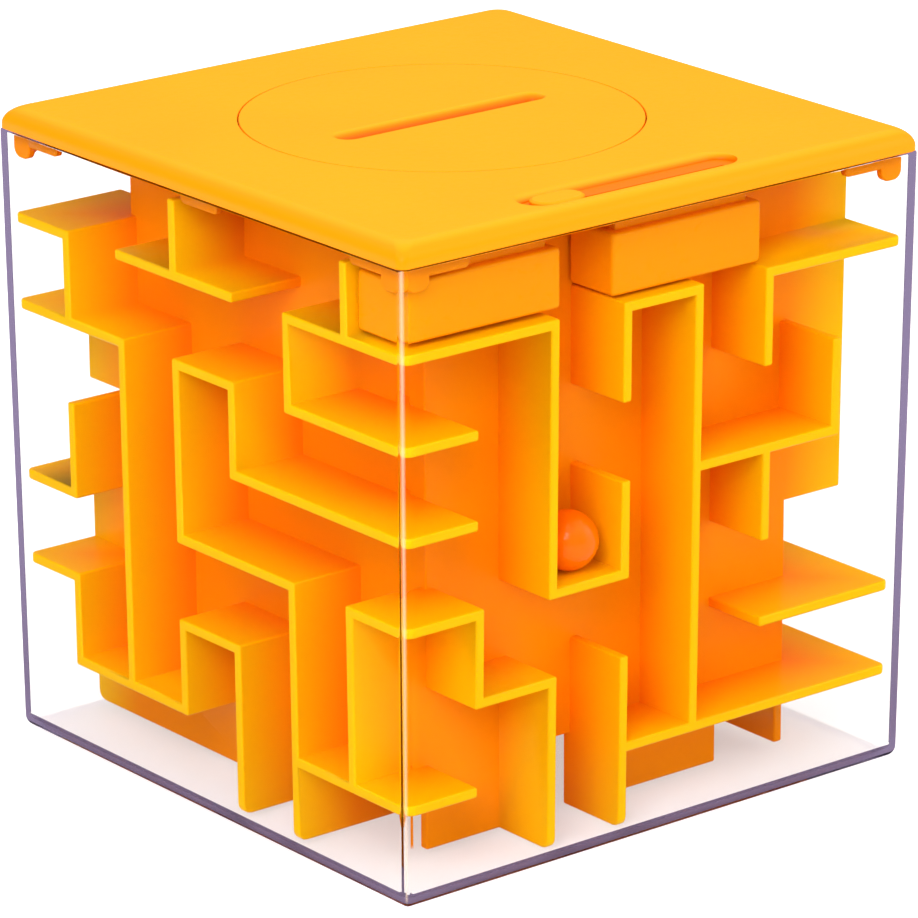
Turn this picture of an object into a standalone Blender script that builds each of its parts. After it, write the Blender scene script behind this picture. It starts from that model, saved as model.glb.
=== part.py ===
"""Tilt maze puzzle box: a clear cube around a maze core, closed by a lid with a sliding latch.

The ball is steered along the channels between the walls of the core. When it stops in the gap
between the two sliding blocks under the lid, the latch button pushes both blocks aside at once.
Sizes are in millimetres and become metres where a mesh is made. The origin is the centre of the
case's underside, +Z is up, and -Y is the side with the latch.
"""
import math

import bmesh
import bpy

MM = 0.001
CUT_PAST = 1.0  # how far a cutter runs past the face it opens

# Clear case
CASE_TOP_HALF = 43.0
CASE_BOTTOM_HALF = 42.3
CASE_HEIGHT = 84.4
CASE_WALL = 1.2
CASE_FLOOR = 1.2
CASE_CORNER_TOP = 1.0
CASE_CORNER_BOTTOM = 1.35
CASE_FOOT_ROUND = 1.6
CASE_INNER_CORNER = 0.6
CASE_INNER_FOOT = 0.5

# Maze grid: wall lines across each side, and shelf levels up it
LINE_PITCH = 11.93
LEVEL_PITCH = 11.95
LEVEL_ZERO = 12.6
WALL = 1.4
CORE_BOTTOM = 1.6
CORE_TOP = 82.6
TIP_HALF_TOP = 41.3
TIP_HALF_BOTTOM = 40.4
TIP_CORNER = 0.9
TIP_FOOT_ROUND = 1.4
CORNER_LINE = 3.55
CORE_SHIFT = 0.5  # the core stands this far to the right in its case

# Lid
LID_HALF = 42.9
LID_CORNER_LOW = 1.3
LID_CORNER_HIGH = 2.4
LID_UNDER = 84.65
LID_TOP = 87.5
LID_ROUND = 2.3
LID_SKIN = 1.7
LID_EDGE_WALL = 3.1
LID_RECESS_CORNER = 1.0
TAB_THICK = 1.1
TAB_OUTER = 41.15
TAB_LENGTH = 3.7
TAB_BOTTOM = 80.8
RIB_LENGTH = 6.3
RIB_BOTTOM = 82.6
SIDE_RIB_LENGTH = 7.8

# Coin disc
DISC_X = -1.2
DISC_Y = 1.2
DISC_RADIUS = 26.65
DISC_SEAM = 0.15
DISC_THICK = 0.95
DISC_LEDGE = 1.6
DISC_FIT = 0.25
COIN_SLOT_LENGTH = 33.0
COIN_SLOT_WIDTH = 2.6

# Latch: track in the lid, button, driver and bolt
TRAVEL = 21.4
TRACK_LEFT = -19.2
TRACK_RIGHT = 15.4
TRACK_Y = -37.7
TRACK_HALF = 2.45
TRACK_DEPTH = 0.75
THROUGH_SLOT = 2.0
BUTTON_LEFT = -17.9
BUTTON_LENGTH = 7.9
BUTTON_GAP = 0.3
BUTTON_BOTTOM = LID_TOP - TRACK_DEPTH + BUTTON_GAP
CROWN_INSET = 0.8
CROWN_DROP = 0.15
CROWN_RISE = 0.1
NECK_WIDTH = 1.4
NECK_SHORT = 0.1
NECK_SINK = 0.2
NECK_Y = TRACK_Y - TRACK_HALF + THROUGH_SLOT / 2
NECK_LEFT = TRACK_LEFT + TRACK_HALF + BUTTON_GAP
NECK_RIGHT = BUTTON_LEFT + BUTTON_LENGTH - TRACK_HALF
PLATE_TOP = 84.3
PLATE_BOTTOM = 83.1
PLATE_FRONT = -39.6
PLATE_BACK = -24.6
BLOCK_FRONT = -39.6
BLOCK_BACK = -30.9
BLOCK_TOP = 81.8
DRIVER_BOTTOM = 73.7
DRIVER_LEFT = -39.8
DRIVER_RIGHT = -15.25
DRIVER_PLATE_RIGHT = -9.4
BOLT_BOTTOM = 73.45
BOLT_LEFT = -6.9
BOLT_STOP_GAP = 0.55
BOLT_RIGHT = TAB_OUTER - TAB_THICK - BOLT_STOP_GAP - TRAVEL
BLOCK_ROUND = 0.6
BLOCK_STEP = 1.5
BLOCK_NECK_FRONT = 1.4
BLOCK_NECK_BACK = 0.6
RETAINER_HALF = 28.4
RETAINER_FRONT = -28.7
RETAINER_BACK = -19.6
RETAINER_THICK = 1.0
RETAINER_GAP = 0.3
SCREW_Y = -21.6
SCREW_RADIUS = 1.0
SCREW_HEAD_RADIUS = 1.9
SCREW_POSITIONS = (-24.0, 24.0)
BOSS_WALL = 0.6
SCREW_COVER = 1.2

BALL_RADIUS = 4.0
BALL_COLUMN = -1
BALL_Y = -36.3

# The maze. A shelf is (level, from line, to line), a post is (line, from level, to level). Lines
# run from -2.5 to 2.5 on each side, 3.5 is the corner, level 6 is the core's top, -1 its bottom.
C = CORNER_LINE
FRONT_SHELVES = (
    (5, -C, -1.5), (5, -0.5, 0.5), (5, 1.5, C), (3, 0.5, 2.5), (2, -C, -2.5),
    (2, -1.5, -0.5), (1, -2.5, -1.5), (1, 1.5, C), (0, -0.5, C),
)
FRONT_POSTS = (
    (-2.5, 1, 2), (-1.5, 2, 5), (-1.5, -1, 1), (-0.5, 4, 5), (-0.5, 2, 3), (-0.5, -1, 1),
    (0.5, 0, 5), (1.5, 4, 5), (1.5, 2, 3), (2.5, 3, 4),
)
LEFT_SHELVES = (
    (5, 2.5, C), (5, -0.5, 1.5), (5, -C, -1.5), (4, 1.5, C), (4, -0.5, 0.5), (4, -C, -1.5),
    (3, -C, -0.5), (2, 2.5, C), (2, -1.5, 0.5), (2, -C, -2.5), (1, 2.5, C), (1, -0.5, 0.5),
    (0, 0.5, 2.5), (0, -C, -1.5),
)
LEFT_POSTS = (
    (2.5, 4, 5), (2.5, 2, 3), (2.5, 0, 1), (1.5, 0, 4), (0.5, 5, 6), (0.5, 2, 4), (0.5, 0, 1),
    (-0.5, 3, 4), (-0.5, -1, 1), (-1.5, 4, 5), (-1.5, -1, 2), (-2.5, 5, 6), (-2.5, 0, 2),
)
RIGHT_SHELVES = (
    (5, -C, -2.5), (5, -0.5, 1.5), (5, 2.5, C), (4, -1.5, -0.5), (4, 0.5, 1.5), (3, -2.5, -1.5),
    (3, -0.5, 0.5), (3, 1.5, C), (2, -1.5, 0.5), (2, 1.5, 2.5), (1, -C, -1.5), (1, 0.5, 1.5),
    (1, 2.5, C), (0, -C, -1.5), (0, -0.5, 0.5), (0, 1.5, 2.5),
)
RIGHT_POSTS = (
    (-2.5, 2, 6), (-1.5, 3, 4), (-0.5, 4, 5), (-0.5, 0, 2), (0.5, 3, 4), (0.5, 1, 2),
    (1.5, 4, 5), (1.5, 1, 3), (1.5, -1, 0), (2.5, 3, 4), (2.5, 0, 1),
)
BACK_SHELVES = (
    (5, -C, -2.1), (5, -0.5, 0.5), (5, 1.5, C), (4, -C, -1.5), (4, 0.5, 1.5), (3, -1.5, -0.5),
    (3, 1.5, C), (2, -C, -1.5), (2, 0.5, 2.5), (1, -C, -2.5), (1, -0.5, 0.5), (1, 2.5, C),
    (0, -1.5, -0.5), (0, 0.5, 1.5),
)
BACK_POSTS = (
    (-2.5, 3, 4), (-2.5, -1, 2), (-1.5, 4, 5), (-1.5, 0, 1), (-0.5, 3, 5), (-0.5, 1, 2),
    (0.5, 4, 6), (0.5, 2, 3), (0.5, 0, 1), (1.5, 3, 4), (1.5, 1, 2), (1.5, -1, 0), (2.5, 4, 5),
    (2.5, 0, 2),
)
# Fins under the floor: (line, from, to), first those along X, then those along Y.
UNDER_ALONG_X = (
    (-2.5, -2.5, -1.5), (-2.5, -0.5, 1.5), (-1.5, -C, -0.5), (-0.5, -C, -1.5), (0.5, -0.5, 1.5),
    (1.5, -1.5, 0.5), (2.5, 0.5, 2.5), (-0.5, 0.5, C),
)
UNDER_ALONG_Y = (
    (-2.5, 0.5, C), (-1.5, -C, -2.5), (-0.5, -C, -2.5), (2.5, -2.5, -1.5), (-0.5, 0.5, 2.5),
    (1.5, 1.5, C), (1.5, -0.5, 0.5),
)


def clear_scene():
    for item in list(bpy.data.objects):
        bpy.data.objects.remove(item, do_unlink=True)


def make_material(name, color, roughness, metallic=0.0, transmission=0.0):
    material = bpy.data.materials.new(name)
    material.use_nodes = True
    shader = material.node_tree.nodes["Principled BSDF"]
    shader.inputs["Base Color"].default_value = (*color, 1.0)
    shader.inputs["Roughness"].default_value = roughness
    shader.inputs["Metallic"].default_value = metallic
    shader.inputs["Transmission Weight"].default_value = transmission
    return material


def make_object(name, mesh_data, material, parent=None, guide=False):
    bmesh.ops.recalc_face_normals(mesh_data, faces=mesh_data.faces)
    mesh = bpy.data.meshes.new(name)
    mesh_data.to_mesh(mesh)
    mesh_data.free()
    mesh.shade_smooth()
    mesh.set_sharp_from_angle(angle=math.radians(35))
    item = bpy.data.objects.new(name, mesh)
    bpy.context.scene.collection.objects.link(item)
    if material is not None:
        mesh.materials.append(material)
    if guide:
        item.hide_render = True
        item.display_type = "WIRE"
    if parent is not None:
        item.parent = parent
        item.matrix_parent_inverse = parent.matrix_world.inverted()
    return item


def make_empty(name, location, parent=None):
    empty = bpy.data.objects.new(name, None)
    empty.location = [value * MM for value in location]
    if parent is not None:
        empty.parent = parent
        empty.location = [value * MM - base for value, base in zip(location, parent.location)]
    bpy.context.scene.collection.objects.link(empty)
    bpy.context.view_layer.update()
    return empty


def combine(target, tool, operation, touch_itself=False):
    step = target.modifiers.new(operation.lower(), "BOOLEAN")
    step.operation = operation
    step.object = tool
    step.solver = "EXACT"
    step.use_self = touch_itself
    return step


def add_box(mesh_data, low, high):
    corners = [
        mesh_data.verts.new((x * MM, y * MM, z * MM))
        for z in (low[2], high[2])
        for x, y in ((low[0], low[1]), (high[0], low[1]), (high[0], high[1]), (low[0], high[1]))
    ]
    faces = ((3, 2, 1, 0), (4, 5, 6, 7), (0, 1, 5, 4), (1, 2, 6, 5), (2, 3, 7, 6), (3, 0, 4, 7))
    for face in faces:
        mesh_data.faces.new([corners[index] for index in face])


def boxes_mesh(boxes):
    mesh_data = bmesh.new()
    for low, high in boxes:
        add_box(mesh_data, low, high)
    return mesh_data


def rounded_outline(half_x, half_y, radius, steps):
    """Corner points of a rounded rectangle, anticlockwise, steps + 1 points in each corner."""
    points = []
    centres = ((1, 1), (-1, 1), (-1, -1), (1, -1))
    for quarter, (side_x, side_y) in enumerate(centres):
        for step in range(steps + 1):
            angle = math.radians(90.0 * (quarter + step / steps))
            x = side_x * (half_x - radius) + radius * math.cos(angle)
            y = side_y * (half_y - radius) + radius * math.sin(angle)
            points.append((x, y))
    return points


def stadium_outline(length, width, steps):
    """A slot outline with round ends, along X and centred on the origin."""
    points = []
    for end, start in ((1, -90.0), (-1, 90.0)):
        for step in range(steps + 1):
            angle = math.radians(start + 180.0 * step / steps)
            x = end * (length - width) / 2 + width / 2 * math.cos(angle)
            points.append((x, width / 2 * math.sin(angle)))
    return points


def circle_outline(radius, steps):
    turns = [2 * math.pi * step / steps for step in range(steps)]
    return [(radius * math.cos(turn), radius * math.sin(turn)) for turn in turns]


def moved(outline, x, y):
    return [(px + x, py + y) for px, py in outline]


def loft(sections):
    """A closed solid through outlines with equal point counts, each given as (outline, z)."""
    mesh_data = bmesh.new()
    rings = []
    for outline, z in sections:
        rings.append([mesh_data.verts.new((x * MM, y * MM, z * MM)) for x, y in outline])
    count = len(rings[0])
    for lower, upper in zip(rings, rings[1:]):
        for index in range(count):
            after = (index + 1) % count
            mesh_data.faces.new((lower[index], lower[after], upper[after], upper[index]))
    mesh_data.faces.new(list(reversed(rings[0])))
    mesh_data.faces.new(rings[-1])
    return mesh_data


def guide_loft(name, sections):
    return make_object(name, loft(sections), None, guide=True)


def line_at(line):
    return line * LINE_PITCH


def level_at(level):
    if level < 0:
        return CORE_BOTTOM + WALL / 2
    if level > 5:
        return CORE_TOP - WALL / 2
    return LEVEL_ZERO + level * LEVEL_PITCH


def foot_profile(radius, steps):
    """A quarter round under an edge, from the bottom up, as (inset, height) pairs."""
    profile = []
    for step in range(steps + 1):
        angle = math.radians(90.0 * step / steps)
        profile.append((radius * (1 - math.sin(angle)), radius * (1 - math.cos(angle))))
    return profile


def case_half_at(z):
    return CASE_BOTTOM_HALF + (CASE_TOP_HALF - CASE_BOTTOM_HALF) * z / CASE_HEIGHT


def build_case(material):
    steps = 6
    outer = []
    for inset, z in foot_profile(CASE_FOOT_ROUND, steps):
        half = case_half_at(z) - inset
        corner = max(CASE_CORNER_BOTTOM - inset, 0.3)
        outer.append((rounded_outline(half, half, corner, steps), z))
    rim = rounded_outline(CASE_TOP_HALF, CASE_TOP_HALF, CASE_CORNER_TOP, steps)
    outer.append((rim, CASE_HEIGHT))
    case = make_object("clear_case", loft(outer), material)
    foot_half = case_half_at(CASE_FLOOR) - CASE_WALL
    floor_half = foot_half - CASE_INNER_FOOT
    top_half = CASE_TOP_HALF - CASE_WALL
    corner = CASE_INNER_CORNER
    inner = [
        (rounded_outline(floor_half, floor_half, corner / 2, steps), CASE_FLOOR),
        (rounded_outline(foot_half, foot_half, corner, steps), CASE_FLOOR + CASE_INNER_FOOT),
        (rounded_outline(top_half, top_half, corner, steps), CASE_HEIGHT + CUT_PAST),
    ]
    combine(case, guide_loft("case_hollow", inner), "DIFFERENCE")
    return case


def side_box(side, along_low, along_high, deep_low, deep_high, z_low, z_high):
    """A box on one side of the core, by its place along the side and its distance out from the centre."""
    if side == "front":
        return (along_low, -deep_high, z_low), (along_high, -deep_low, z_high)
    if side == "back":
        return (along_low, deep_low, z_low), (along_high, deep_high, z_high)
    if side == "left":
        return (-deep_high, along_low, z_low), (-deep_low, along_high, z_high)
    return (deep_low, along_low, z_low), (deep_high, along_high, z_high)


def side_walls(side, shelves, posts):
    """Boxes for one side's shelves and posts. Their roots sink a little way into the tub's wall."""
    root = line_at(2.5) + WALL / 4
    tip = CASE_TOP_HALF
    boxes = []
    for level, first, last in shelves:
        z = level_at(level)
        low = line_at(first) - WALL / 2
        high = line_at(last) + WALL / 2
        boxes.append(side_box(side, low, high, root, tip, z - WALL / 2, z + WALL / 2))
    for line, first, last in posts:
        middle = line_at(line)
        z_low = level_at(first) - WALL / 2
        z_high = level_at(last) + WALL / 2
        boxes.append(side_box(side, middle - WALL / 2, middle + WALL / 2, root, tip, z_low, z_high))
    return boxes


def under_walls():
    top = LEVEL_ZERO
    boxes = []
    for line, first, last in UNDER_ALONG_X:
        low = (line_at(first) - WALL / 2, line_at(line) - WALL / 2, CORE_BOTTOM)
        high = (line_at(last) + WALL / 2, line_at(line) + WALL / 2, top)
        boxes.append((low, high))
    for line, first, last in UNDER_ALONG_Y:
        low = (line_at(line) - WALL / 2, line_at(first) - WALL / 2, CORE_BOTTOM)
        high = (line_at(line) + WALL / 2, line_at(last) + WALL / 2, top)
        boxes.append((low, high))
    return boxes


def build_core(material):
    outer = line_at(2.5) + WALL / 2
    inner = line_at(2.5) - WALL / 2
    floor = level_at(0)
    core = make_object(
        "maze_core",
        boxes_mesh([((-outer, -outer, floor - WALL / 2), (outer, outer, CORE_TOP))]),
        material,
    )
    boxes = under_walls()
    boxes += side_walls("front", FRONT_SHELVES, FRONT_POSTS)
    boxes += side_walls("left", LEFT_SHELVES, LEFT_POSTS)
    boxes += side_walls("right", RIGHT_SHELVES, RIGHT_POSTS)
    boxes += side_walls("back", BACK_SHELVES, BACK_POSTS)
    walls = make_object("core_walls", boxes_mesh(boxes), None, guide=True)
    combine(core, walls, "UNION", touch_itself=True)
    core.location.x = CORE_SHIFT * MM
    walls.location.x = CORE_SHIFT * MM
    steps = 4
    envelope = []
    for inset, height in foot_profile(TIP_FOOT_ROUND, steps):
        half = TIP_HALF_BOTTOM - inset
        outline = rounded_outline(half, half, TIP_CORNER, steps)
        envelope.append((outline, CORE_BOTTOM + height))
    top = rounded_outline(TIP_HALF_TOP, TIP_HALF_TOP, TIP_CORNER, steps)
    envelope.append((top, CASE_HEIGHT))
    combine(core, guide_loft("core_envelope", envelope), "INTERSECT")
    hollow = boxes_mesh([((-inner, -inner, floor + WALL / 2), (inner, inner, CASE_HEIGHT))])
    chamber = make_object("coin_chamber", hollow, None, guide=True)
    chamber.location.x = CORE_SHIFT * MM
    combine(core, chamber, "DIFFERENCE")
    return core


def lid_tab_boxes():
    """Corner tabs, the low ribs beside them and the ribs at mid-side, all under the lid."""
    boxes = []
    sink = LID_UNDER + 0.4
    outer = TAB_OUTER
    inner = TAB_OUTER - TAB_THICK
    tab_end = TAB_OUTER - TAB_LENGTH
    rib_end = tab_end - RIB_LENGTH
    for side in ("front", "back", "left", "right"):
        for sign in (-1, 1):
            tab = sorted((sign * tab_end, sign * outer))
            rib = sorted((sign * rib_end, sign * (tab_end + 0.2)))
            boxes.append(side_box(side, tab[0], tab[1], inner, outer, TAB_BOTTOM, sink))
            boxes.append(side_box(side, rib[0], rib[1], inner, outer, RIB_BOTTOM, sink))
        if side != "front":
            half = SIDE_RIB_LENGTH / 2
            boxes.append(side_box(side, -half, half, inner, outer, RIB_BOTTOM, sink))
    return boxes


def build_lid(material, parent):
    steps = 5
    sections = [(rounded_outline(LID_HALF, LID_HALF, LID_CORNER_LOW, steps), LID_UNDER)]
    for inset, depth in reversed(foot_profile(LID_ROUND, steps)):
        half = LID_HALF - inset
        corner = LID_CORNER_LOW + (LID_CORNER_HIGH - LID_CORNER_LOW) * inset / LID_ROUND
        sections.append((rounded_outline(half, half, corner, steps), LID_TOP - depth))
    lid = make_object("lid", loft(sections), material, parent)

    recess_half = LID_HALF - LID_EDGE_WALL
    skin_bottom = LID_TOP - LID_SKIN
    recess = rounded_outline(recess_half, recess_half, LID_RECESS_CORNER, steps)
    shape = [(recess, LID_UNDER - CUT_PAST), (recess, skin_bottom)]
    combine(lid, guide_loft("lid_recess", shape), "DIFFERENCE")

    tabs = make_object("lid_tabs", boxes_mesh(lid_tab_boxes()), None, guide=True)
    combine(lid, tabs, "UNION", touch_itself=True)

    bosses = []
    for x in SCREW_POSITIONS:
        boss = moved(circle_outline(SCREW_HEAD_RADIUS + BOSS_WALL, 20), x, SCREW_Y)
        shape = [(boss, PLATE_BOTTOM - RETAINER_GAP / 2), (boss, LID_TOP - CUT_PAST)]
        bosses.append(guide_loft("screw_boss", shape))
    for boss in bosses:
        combine(lid, boss, "UNION")

    facets = 96
    hole = moved(circle_outline(DISC_RADIUS + DISC_SEAM, facets), DISC_X, DISC_Y)
    ledge_radius = DISC_RADIUS - DISC_LEDGE
    ledge = moved(circle_outline(ledge_radius, facets), DISC_X, DISC_Y)
    ledge_top = LID_TOP - DISC_THICK - DISC_FIT
    shape = [(hole, ledge_top), (hole, LID_TOP + CUT_PAST)]
    combine(lid, guide_loft("disc_hole", shape), "DIFFERENCE")
    combine(lid, guide_loft("ledge_hole", [(ledge, LID_UNDER), (ledge, LID_TOP)]), "DIFFERENCE")

    track_length = TRACK_RIGHT - TRACK_LEFT
    track_x = (TRACK_RIGHT + TRACK_LEFT) / 2
    track = moved(stadium_outline(track_length, 2 * TRACK_HALF, 10), track_x, TRACK_Y)
    track_floor = LID_TOP - TRACK_DEPTH
    shape = [(track, track_floor), (track, LID_TOP + CUT_PAST)]
    combine(lid, guide_loft("track", shape), "DIFFERENCE")

    slot = boxes_mesh([(
        (TRACK_LEFT + TRACK_HALF, NECK_Y - THROUGH_SLOT / 2, LID_UNDER - CUT_PAST),
        (TRACK_RIGHT - TRACK_HALF, NECK_Y + THROUGH_SLOT / 2, LID_TOP),
    )])
    combine(lid, make_object("track_slot", slot, None, guide=True), "DIFFERENCE")

    for x in SCREW_POSITIONS:
        bore = moved(circle_outline(SCREW_RADIUS + 0.25, 16), x, SCREW_Y)
        shape = [(bore, PLATE_BOTTOM - CUT_PAST), (bore, LID_TOP - SCREW_COVER)]
        combine(lid, guide_loft("screw_bore", shape), "DIFFERENCE")
    return lid


def build_disc(material, parent):
    facets = 96
    top = moved(circle_outline(DISC_RADIUS, facets), DISC_X, DISC_Y)
    boss = moved(circle_outline(DISC_RADIUS - DISC_LEDGE - DISC_FIT, facets), DISC_X, DISC_Y)
    shoulder = LID_TOP - DISC_THICK
    sections = [(boss, LID_TOP - LID_SKIN), (boss, shoulder), (top, shoulder), (top, LID_TOP)]
    disc = make_object("coin_slot_disc", loft(sections), material, parent)
    slot = moved(stadium_outline(COIN_SLOT_LENGTH, COIN_SLOT_WIDTH, 8), DISC_X, DISC_Y)
    shape = [(slot, LID_UNDER), (slot, LID_TOP + CUT_PAST)]
    combine(disc, guide_loft("coin_slot", shape), "DIFFERENCE")
    return disc


def build_button(material, parent):
    """The button rides in the track, with a neck through the slot down to the slider plate."""
    width = 2 * (TRACK_HALF - BUTTON_GAP)
    x = BUTTON_LEFT + BUTTON_LENGTH / 2
    full = moved(stadium_outline(BUTTON_LENGTH, width, 8), x, TRACK_Y)
    crown = moved(stadium_outline(BUTTON_LENGTH - CROWN_INSET, width - CROWN_INSET, 8), x, TRACK_Y)
    sections = [(full, BUTTON_BOTTOM), (full, LID_TOP - CROWN_DROP), (crown, LID_TOP + CROWN_RISE)]
    button = make_object("latch_button", loft(sections), material, parent)
    neck = boxes_mesh([(
        (NECK_LEFT, NECK_Y - NECK_WIDTH / 2, PLATE_BOTTOM + NECK_SHORT),
        (NECK_RIGHT, NECK_Y + NECK_WIDTH / 2, BUTTON_BOTTOM + NECK_SINK),
    )])
    combine(button, make_object("button_neck", neck, None, guide=True), "UNION")
    return button


def soft_block(name, low, high, material, parent):
    """A block with lightly rounded edges."""
    block = make_object(name, boxes_mesh([(low, high)]), material, parent)
    rounding = block.modifiers.new("round_edges", "BEVEL")
    rounding.width = BLOCK_ROUND * MM
    rounding.segments = 2
    return block


def block_neck(left, right):
    """The recessed neck that joins a block to its plate, as a box's two corners."""
    low = (left, BLOCK_FRONT + BLOCK_NECK_FRONT, BLOCK_TOP - BLOCK_NECK_BACK)
    return low, (right, BLOCK_BACK - BLOCK_NECK_BACK, PLATE_TOP - BLOCK_NECK_BACK)


def build_driver(material, parent):
    low = (DRIVER_LEFT, BLOCK_FRONT, DRIVER_BOTTOM)
    high = (DRIVER_RIGHT, BLOCK_BACK, BLOCK_TOP)
    driver = soft_block("driver_block", low, high, material, parent)
    extras = boxes_mesh([
        ((DRIVER_LEFT, PLATE_FRONT, PLATE_BOTTOM), (DRIVER_PLATE_RIGHT, PLATE_BACK, PLATE_TOP)),
        block_neck(DRIVER_LEFT + BLOCK_STEP, DRIVER_RIGHT - BLOCK_STEP),
    ])
    plate = make_object("driver_plate", extras, None, guide=True)
    combine(driver, plate, "UNION", touch_itself=True)
    half = NECK_WIDTH / 2 + BUTTON_GAP
    socket = boxes_mesh([(
        (NECK_LEFT - BUTTON_GAP, NECK_Y - half, PLATE_BOTTOM - CUT_PAST),
        (NECK_RIGHT + BUTTON_GAP, NECK_Y + half, PLATE_TOP + CUT_PAST),
    )])
    combine(driver, make_object("neck_socket", socket, None, guide=True), "DIFFERENCE")
    return driver


def build_bolt(material, parent):
    low = (BOLT_LEFT, BLOCK_FRONT, BOLT_BOTTOM)
    high = (BOLT_RIGHT, BLOCK_BACK, BLOCK_TOP)
    bolt = soft_block("bolt_block", low, high, material, parent)
    step_right = BOLT_RIGHT - BLOCK_STEP
    extras = boxes_mesh([
        ((BOLT_LEFT, PLATE_FRONT, PLATE_BOTTOM), (step_right, PLATE_BACK, PLATE_TOP)),
        block_neck(BOLT_LEFT + BLOCK_STEP, step_right),
    ])
    combine(bolt, make_object("bolt_plate", extras, None, guide=True), "UNION", touch_itself=True)
    return bolt


def build_retainer(material, parent):
    """A strip under the rear edges of both plates, screwed to the bosses of the lid."""
    top = PLATE_BOTTOM - RETAINER_GAP
    bottom = top - RETAINER_THICK
    outline = rounded_outline(RETAINER_HALF, (RETAINER_BACK - RETAINER_FRONT) / 2, 1.0, 4)
    outline = moved(outline, 0.0, (RETAINER_BACK + RETAINER_FRONT) / 2)
    shape = [(outline, bottom), (outline, top)]
    strip = make_object("slider_retainer", loft(shape), material, parent)
    for x in SCREW_POSITIONS:
        hole = moved(circle_outline(SCREW_RADIUS + RETAINER_GAP, 16), x, SCREW_Y)
        shape = [(hole, bottom - CUT_PAST), (hole, top + CUT_PAST)]
        combine(strip, guide_loft("strip_hole", shape), "DIFFERENCE")
    return strip


def build_screw(number, x, material, parent):
    """A small domed screw with a cross recess, driven up into its boss."""
    head_top = PLATE_BOTTOM - RETAINER_GAP - RETAINER_THICK - 0.1
    facets = 16
    profile = (
        (SCREW_HEAD_RADIUS * 0.6, head_top - 1.0), (SCREW_HEAD_RADIUS * 0.92, head_top - 0.75),
        (SCREW_HEAD_RADIUS, head_top - 0.4), (SCREW_HEAD_RADIUS, head_top),
        (SCREW_RADIUS, head_top), (SCREW_RADIUS, LID_TOP - 1.9), (0.3, LID_TOP - 1.4),
    )
    sections = [(moved(circle_outline(radius, facets), x, SCREW_Y), z) for radius, z in profile]
    screw = make_object(f"retainer_screw_{number}", loft(sections), material, parent)
    arm = 1.15
    groove = 0.26
    low_z = head_top - 1.6
    high_z = head_top - 0.5
    cross = boxes_mesh([
        ((x - arm, SCREW_Y - groove, low_z), (x + arm, SCREW_Y + groove, high_z)),
        ((x - groove, SCREW_Y - arm, low_z), (x + groove, SCREW_Y + arm, high_z)),
    ])
    tool = make_object(f"cross_recess_{number}", cross, None, guide=True)
    combine(screw, tool, "DIFFERENCE", touch_itself=True)
    return screw


def build_ball(material, parent):
    mesh_data = bmesh.new()
    bmesh.ops.create_uvsphere(mesh_data, u_segments=32, v_segments=18, radius=BALL_RADIUS * MM)
    ball = make_object("maze_ball", mesh_data, material)
    ball.parent = parent
    return ball


def main():
    clear_scene()
    orange = make_material("orange_plastic", (0.98, 0.42, 0.01), 0.3)
    deep_orange = make_material("orange_moving", (0.98, 0.38, 0.01), 0.3)
    clear = make_material("clear_plastic", (0.97, 0.97, 0.98), 0.05, transmission=0.9)
    steel = make_material("polished_steel", (0.75, 0.75, 0.76), 0.12, metallic=1.0)
    build_case(clear)
    build_core(orange)
    lid_axis = make_empty("lid_lift_axis", (0.0, 0.0, LID_UNDER))
    slider_axis = make_empty("slider_axis", (TRACK_LEFT, TRACK_Y, PLATE_BOTTOM), lid_axis)
    bolt_axis = make_empty("bolt_axis", (BOLT_LEFT, TRACK_Y, PLATE_BOTTOM), lid_axis)
    build_lid(orange, lid_axis)
    build_disc(orange, lid_axis)
    build_retainer(deep_orange, lid_axis)
    for number, x in enumerate(SCREW_POSITIONS, start=1):
        build_screw(number, x, steel, lid_axis)
    build_button(deep_orange, slider_axis)
    build_driver(deep_orange, slider_axis)
    build_bolt(deep_orange, bolt_axis)
    ball_z = level_at(2) + WALL / 2 + BALL_RADIUS + 0.15
    ball_axis = make_empty("ball_axis", (line_at(BALL_COLUMN) + CORE_SHIFT, BALL_Y, ball_z))
    build_ball(deep_orange, ball_axis)


main()
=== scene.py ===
"""The looks of the tilt maze puzzle box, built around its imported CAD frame. Lengths are in millimetres
until they reach a mesh, a light or the camera."""
import math

import bmesh
import bpy
from mathutils import Matrix, Vector


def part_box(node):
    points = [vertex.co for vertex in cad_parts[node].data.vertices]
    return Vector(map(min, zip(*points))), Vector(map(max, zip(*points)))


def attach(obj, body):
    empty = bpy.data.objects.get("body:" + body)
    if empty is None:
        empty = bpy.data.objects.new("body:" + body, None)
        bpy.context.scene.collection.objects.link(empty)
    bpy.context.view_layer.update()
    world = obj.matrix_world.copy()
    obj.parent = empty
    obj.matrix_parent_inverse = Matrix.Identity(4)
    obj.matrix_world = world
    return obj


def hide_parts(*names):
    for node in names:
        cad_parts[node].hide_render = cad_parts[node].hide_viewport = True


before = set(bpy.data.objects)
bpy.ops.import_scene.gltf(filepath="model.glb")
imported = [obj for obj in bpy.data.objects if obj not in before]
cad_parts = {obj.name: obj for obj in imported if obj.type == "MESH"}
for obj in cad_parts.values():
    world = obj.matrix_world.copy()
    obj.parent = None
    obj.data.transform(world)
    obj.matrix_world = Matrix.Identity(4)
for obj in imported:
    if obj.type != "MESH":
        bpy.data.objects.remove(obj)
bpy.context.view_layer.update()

MM = 0.001
SMOOTH_ANGLE = 40.0
CORE_EDGE = 0.3
BLOCK_EDGE = 0.15
SCREW_EDGE = 0.06


def span(node):
    """A CAD node's lowest and highest corner in millimetres."""
    low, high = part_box(node)
    return [value / MM for value in low], [value / MM for value in high]


CASE_HIGH = span("clear_case")[1]
DISC_LOW, DISC_HIGH = span("coin_slot_disc")
BUTTON_LOW, BUTTON_HIGH = span("latch_button")
BALL_LOW, BALL_HIGH = span("maze_ball")

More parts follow.
